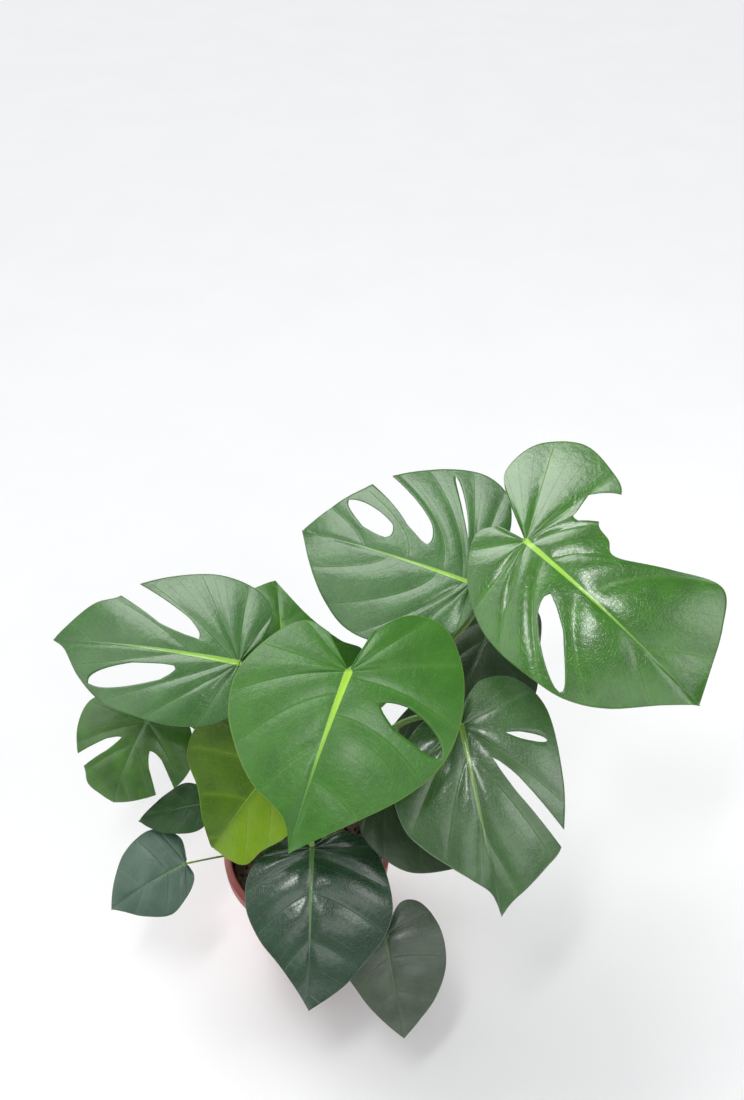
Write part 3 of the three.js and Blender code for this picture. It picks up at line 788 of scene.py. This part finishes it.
def tubePiece(name, centres, radii, sides, ripple=None):
    # rings of points along a path, closed at both ends
    steps = len(centres)
    tangents = np.gradient(centres, axis=0)
    tangents /= np.linalg.norm(tangents, axis=1)[:, None]
    side = np.cross(tangents[0], (0.0, 1.0, 0.0))
    rows = []
    angles = np.linspace(0, 2 * np.pi, sides + 1)
    for k in range(steps):
        side = side - tangents[k] * (side @ tangents[k])
        side /= np.linalg.norm(side)
        other = np.cross(tangents[k], side)
        radius = radii[k] * (ripple(k / (steps - 1), angles) if ripple else 1)
        ring = np.outer(np.cos(angles) * radius, side) + np.outer(np.sin(angles) * radius, other)
        ring[-1] = ring[0]
        rows.append(centres[k] + ring)
    along = np.broadcast_to(np.linspace(0, 1, steps)[:, None], (steps, sides + 1))
    around = np.broadcast_to(np.linspace(0, 1, sides + 1)[None, :], (steps, sides + 1))
    piece = gridPiece(np.array(rows), {"tube": np.stack([along, around], -1)})
    piece = joinPieces([piece], name, 0.000002)
    closeEnds(piece)
    smooth(piece, 50)
    return piece


stemMaterial = stemShader()
stemTops = {}
for name in ("left", "right", "front", "back"):
    low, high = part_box("stem_" + name)
    centre = (low + high) / 2
    reach = min(high.x - low.x, high.y - low.y) / 2
    tall = high.z - low.z
    lean = Vector(((high.x - low.x) - 2 * reach, (high.y - low.y) - 2 * reach, 0))
    lean.x *= -1 if name == "left" else 1
    lean.y *= -1 if name == "front" else 1
    foot = Vector((centre.x - lean.x / 2, centre.y - lean.y / 2, low.z))
    shares = np.linspace(0, 1, stemLook["steps"])
    centres = np.array([foot + lean * s * s + Vector((0, 0, tall * s)) for s in shares])
    knots = np.exp(-((((shares * stemLook["rings"] + 0.5) % 1) - 0.5) / 0.07) ** 2)
    radii = reach * (0.96 - stemLook["taper"] * shares + stemLook["knot"] * knots)
    radii[-3:] *= (0.96, 0.8, 0.45)
    wobble = lambda s, a: 1 + 0.03 * np.sin(3 * a + 5 * s) + 0.02 * np.sin(7 * a + 9 * s)
    piece = tubePiece("cane_" + name, centres, radii, stemLook["sides"], wobble)
    finish(piece, "stem_" + name, "stem", stemMaterial)
    stemTops[name] = (foot, lean, tall, reach)
print("stems made")


# ---- petioles ----

# The stem each petiole leaves, the side of it in degrees, its height there, how far it runs upright,
# how far it runs in under the blade, and its radius at the foot, in millimetres.
petioles = {
    "centre": ("right", 200, 34, 130, 60, 3.6),
    "left": ("left", 120, 36, 130, 60, 3.4),
    "back": ("back", 40, 34, 130, 70, 3.4),
    "upper_right": ("back", 80, 30, 140, 100, 3.6),
    "right": ("right", 330, 44, 230, 30, 3.4),
    "lower_left": ("left", 170, 30, 90, 60, 2.8),
    "lime": ("left", 300, 40, 90, 40, 2.8),
    "small_left": ("left", 220, 24, 50, 40, 2.2),
    "heart": ("left", 250, 10, 20, 30, 1.3),
    "front": ("front", 270, 24, 50, 40, 3.0),
    "young": ("front", 330, 12, 40, 40, 2.0),
    "low_right": ("front", 20, 28, 60, 40, 2.6),
    "back_left": ("back", 170, 34, 90, 50, 2.8),
    "shade": ("right", 60, 40, 60, 60, 3.0),
}
petioleLook = {"foot": (86, 116, 52), "middle": (110, 148, 66), "knee": (158, 186, 92),
               "streak": (70, 100, 44), "taper": 0.62, "kneeSwell": 0.28, "sheathSwell": 0.5,
               "steps": 90, "sides": 20, "groove": 0.16}


def petioleShader():
    shader = Shader("petiole_skin")
    place = shader.objectPlace()
    tube = shader.node("ShaderNodeUVMap", {"uv_map": "tube"})
    along, around, spare = shader.split(tube)
    streaks = shader.noise(shader.stretch(tube, (3, 40, 1)), 1.0, 5, 0.6)
    specks = shader.step(shader.cells(place, 900, "F1"), 0.28, 0.1)
    dust = shader.noise(place, 120, 3, 0.6)
    low, middle = paint(*petioleLook["foot"]), paint(*petioleLook["middle"])
    color = shader.mix(shader.step(along, 0.0, 0.35), low, middle)
    color = shader.mix(shader.step(along, 0.86, 0.98), color, paint(*petioleLook["knee"]))
    color = shader.mix(shader.step(streaks, 0.45, 0.7) * 0.55, color, paint(*petioleLook["streak"]))
    color = shader.mix(specks * 0.25, color, paint(*petioleLook["knee"]))
    height = streaks * 0.4 + dust * 0.2 - specks * 0.15
    shader.set(Base_Color=color, Roughness=shader.step(dust, 0.3, 0.7, 0.36, 0.52))
    shader.set(Coat_Weight=0.1, Coat_Roughness=0.3)
    shader.set(Normal=shader.bump(height, 0.0006), Subsurface_Weight=0.1, Subsurface_Scale=0.002)
    return shader.material


petioleMaterial = petioleShader()
for name, (stem, side, high, upright, under, radius) in petioles.items():
    leaf = leaves[name]
    foot, lean, tall, reach = stemTops[stem]
    share = high * mm / tall
    out = Vector((math.cos(math.radians(side)), math.sin(math.radians(side)), 0))
    stand = reach * (1 - 0.25 * share) + radius * mm * 0.6
    start = foot + lean * share * share + Vector((0, 0, high * mm)) + out * stand
    first = start + out * upright * 0.12 * mm + Vector((0, 0, upright * mm))
    axes = leafAxes(leaf)
    into = Vector(axes @ np.array((0.42, 0, 0.91)))
    end = leaf["base"] + Vector(axes @ np.array((-0.5, 0, -blade["thick"]))) * mm
    second = end - into * under * mm
    t = np.linspace(0, 1, petioleLook["steps"])[:, None]
    p = [np.array(v) for v in (start, first, second, end)]
    centres = p[0] * (1 - t) ** 3 + 3 * p[1] * t * (1 - t) ** 2
    centres = centres + 3 * p[2] * t ** 2 * (1 - t) + p[3] * t ** 3
    s = t[:, 0]
    swell = 1 + petioleLook["kneeSwell"] * np.exp(-((s - 0.955) / 0.035) ** 2)
    swell += petioleLook["sheathSwell"] * np.exp(-(s / 0.07) ** 2)
    radii = radius * mm * (1 + (petioleLook["taper"] - 1) * s) * swell

    def groove(k, a):
        # a channel along the upper side, shallower in the knee
        return 1 - petioleLook["groove"] * np.exp(-((a - np.pi) / 0.45) ** 2) * (0.3 if k > 0.9 else 1)

    piece = tubePiece("stalk_" + name, centres, radii, petioleLook["sides"], groove)
    finish(piece, "petiole_" + name, "petiole", petioleMaterial)
print("petioles made:", len(petioles))


# ---- pot ----

pot = {"height": 128, "rim": 85, "rimTall": 15, "rimStep": 4, "lip": 7.5, "foot": 56, "wall": 2.6,
       "floor": 3, "turns": 144, "red": (158, 72, 66), "pale": (186, 112, 102), "dark": (112, 48, 44),
       "innerWallBrown": (84, 58, 46)}


def potProfile():
    # radius and height, from the middle of the underside round to the middle of the inside floor
    band = pot["height"] - pot["rimTall"]
    neck = pot["rim"] - pot["rimStep"]
    lip = pot["rim"] - pot["lip"]
    # the third number is how far the corner is rounded
    corners = [(0, 0, 0), (44, 0, 0.6), (45, 1.2, 0.6), (49, 1.2, 0.6), (50, 0, 0.6), (pot["foot"], 0, 1.6),
               (neck, band, 1.0), (pot["rim"] - 0.6, band, 1.0), (pot["rim"], pot["height"], 2.4),
               (lip, pot["height"], 1.6), (lip, band - 6, 3.0),
               (pot["foot"] - pot["wall"], pot["floor"], 2.0), (0, pot["floor"], 0)]
    outline = []
    for k, (r, z, round_) in enumerate(corners):
        here = np.array((r, z), float)
        if not round_:
            outline.append(here)
            continue
        before = np.array(corners[k - 1][:2], float) - here
        after = np.array(corners[k + 1][:2], float) - here
        a = here + before / np.linalg.norm(before) * round_
        b = here + after / np.linalg.norm(after) * round_
        for t in np.linspace(0, 1, 5):
            outline.append((1 - t) ** 2 * a + 2 * t * (1 - t) * here + t * t * b)
    dense = [outline[0]]
    for p, q in zip(outline, outline[1:]):
        count = max(1, int(np.linalg.norm(q - p) / 6))
        dense += [p + (q - p) * k / count for k in range(1, count + 1)]
    return np.array(dense)


def potShader():
    shader = Shader("pot_plastic")
    place = shader.objectPlace()
    x, y, z = shader.split(place)
    flow = shader.noise(shader.stretch(place, (18, 18, 60)), 1.0, 4, 0.6)
    fine = shader.noise(place, 1400, 3, 0.6)
    scuff = shader.noise(shader.stretch(place, (300, 300, 2200)), 1.0, 3, 0.7)
    dust = shader.noise(place, 42, 5, 0.65)
    r = (x * x + y * y) ** 0.5
    slope = (pot["rim"] - pot["rimStep"] - pot["foot"]) / (pot["height"] - pot["rimTall"])
    depth = r - z * slope - pot["foot"] * mm  # how far in from the line of the outer wall
    inside = shader.step(depth, -0.0008, -0.0016) * shader.step(z, 0.02, 0.06)
    color = shader.mix(shader.step(flow, 0.3, 0.7) * 0.3, paint(*pot["red"]), paint(*pot["dark"]))
    color = shader.mix(shader.step(scuff, 0.6, 0.75) * 0.3, color, paint(*pot["pale"]))
    color = shader.mix(shader.step(dust, 0.5, 0.75) * 0.35, color, paint(*pot["pale"]))
    # the inner wall from just under the rim down is painted a darker brown
    innerWallBand = shader.step(z + dust * 0.012, 0.128, 0.116) * inside
    color = shader.mix(innerWallBand * 0.7, color, paint(*pot["innerWallBrown"]))
    rough = shader.step(dust * 0.6 + fine * 0.4, 0.3, 0.7, 0.32, 0.52)
    height = fine * 0.25 + scuff * 0.15 + flow * 0.4
    shader.set(Base_Color=color, Roughness=rough, Normal=shader.bump(height, 0.0004))
    return shader.material


def lathePiece(name, profile, turns):
    angles = np.linspace(0, 2 * np.pi, turns + 1)
    ring = np.stack([np.cos(angles), np.sin(angles)], -1)
    ring[-1] = ring[0]
    points = np.stack([np.outer(profile[:, 0], ring[:, 0]), np.outer(profile[:, 0], ring[:, 1]),
                       np.repeat(profile[:, 1:2], turns + 1, 1)], -1) * mm
    uv = np.stack(np.meshgrid(angles / (2 * np.pi), np.linspace(0, 1, len(profile))), -1)
    piece = gridPiece(points, {"wrap": uv})
    return joinPieces([piece], name, 0.000004)


piece = lathePiece("nursery_pot", potProfile(), pot["turns"])
selectOnly(piece)
bpy.ops.object.mode_set(mode="EDIT")
bpy.ops.mesh.select_all(action="SELECT")
bpy.ops.mesh.normals_make_consistent(inside=False)
bpy.ops.object.mode_set(mode="OBJECT")
smooth(piece, 50)
finish(piece, "pot", "pot", potShader())
print("pot made")


# ---- soil ----

soil = {"crumbs": 520, "sizes": (0.9, 3.4), "foot": 50, "turns": 180, "grain": 0.00028, "lumps": 0.16,
        "dark": (38, 29, 22), "brown": (78, 58, 42), "fibre": (116, 88, 60)}


def soilShader():
    shader = Shader("potting_mix")
    place = shader.objectPlace()
    clods = shader.noise(place, 160, 5, 0.65)
    bits = shader.cells(place, 420, "F1")
    tone = shader.noise(place, 60, 3, 0.6)
    color = shader.mix(shader.step(clods, 0.38, 0.62), paint(*soil["dark"]), paint(*soil["brown"]))
    color = shader.mix(shader.step(tone, 0.58, 0.72) * 0.5, color, paint(*soil["fibre"]))
    color = shader.mix(shader.step(bits, 0.25, 0.0) * 0.4, color, paint(*soil["fibre"]))
    shader.set(Base_Color=color, Roughness=shader.step(clods, 0.3, 0.7, 0.8, 0.97))
    shader.set(Normal=shader.bump(clods * 0.7 + bits * 0.3, 0.003))
    return shader.material


low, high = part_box("soil")
soilRadius = (high.x - low.x) / 2 / mm
soilLow, soilHigh = low.z / mm, high.z / mm
profile = [(0, soilLow), (soil["foot"], soilLow)]
for t in np.linspace(0.1, 1, 8):
    profile.append((soil["foot"] + (soilRadius - soil["foot"]) * t, soilLow + (soilHigh - 8 - soilLow) * t))
profile += [(soilRadius, soilHigh - 3)]
profile += [(soilRadius * (1 - t), soilHigh - 1.5) for t in np.linspace(0.02, 1, 60)]
piece = lathePiece("potting_soil", np.array(profile, float), soil["turns"])
co = np.zeros(len(piece.data.vertices) * 3)
piece.data.vertices.foreach_get("co", co)
co = co.reshape(-1, 3)
top = (co[:, 2] > high.z - 0.0022) & (np.hypot(co[:, 0], co[:, 1]) < soilRadius * mm * 0.995)
lumps = sum(np.sin(co[:, 0] * f + a) * np.sin(co[:, 1] * f + b) / f for f, a, b in
            ((210, 0.3, 1.2), (340, 2.0, 0.4), (610, 1.1, 2.3), (980, 0.2, 0.9)))
grains = noiseRng.normal(0, soil["grain"], top.sum())
co[top, 2] += np.clip(lumps[top] * soil["lumps"] + grains, -0.0015, 0.0014)
piece.data.vertices.foreach_set("co", co.reshape(-1))
crumbs = [piece]
bpy.ops.object.select_all(action="DESELECT")
bpy.ops.mesh.primitive_ico_sphere_add(subdivisions=1, radius=1)
seed = bpy.context.object
for k in range(soil["crumbs"]):
    angle = random.uniform(0, 2 * math.pi)
    reach = (soilRadius - 4) * math.sqrt(random.random()) * mm
    size = random.uniform(*soil["sizes"]) * mm * random.uniform(0.4, 1)
    crumb = seed.copy()
    crumb.data = seed.data.copy()
    bpy.context.collection.objects.link(crumb)
    turn = Euler([random.uniform(0, 6.28) for axis in range(3)]).to_matrix()
    shape = Vector((random.uniform(0.7, 1.5), random.uniform(0.5, 1.0), random.uniform(0.4, 0.8)))
    centre = Vector((reach * math.cos(angle), reach * math.sin(angle), high.z - 0.001))
    for v in crumb.data.vertices:
        v.co = centre + turn @ Vector((v.co.x * shape.x, v.co.y * shape.y, v.co.z * shape.z)) * size
    crumbs.append(crumb)
bpy.data.objects.remove(seed)
selectOnly(*crumbs)
bpy.ops.object.join()
piece = bpy.context.object
smooth(piece, 40)
finish(piece, "soil", "soil", soilShader())
print("soil made")


# ---- floor ----

bpy.ops.object.select_all(action="DESELECT")
bpy.ops.mesh.primitive_plane_add(size=room["floorSize"])
floor = bpy.context.object
floor.name = "studio_floor"
floorShader = Shader("floor_paint")
speck = floorShader.noise(floorShader.objectPlace(), 6, 3, 0.5)
floorShader.set(Base_Color=floorShader.mix(speck, (0.86, 0.86, 0.86, 1), (0.9, 0.9, 0.9, 1)), Roughness=0.9)
floor.data.materials.append(floorShader.material)
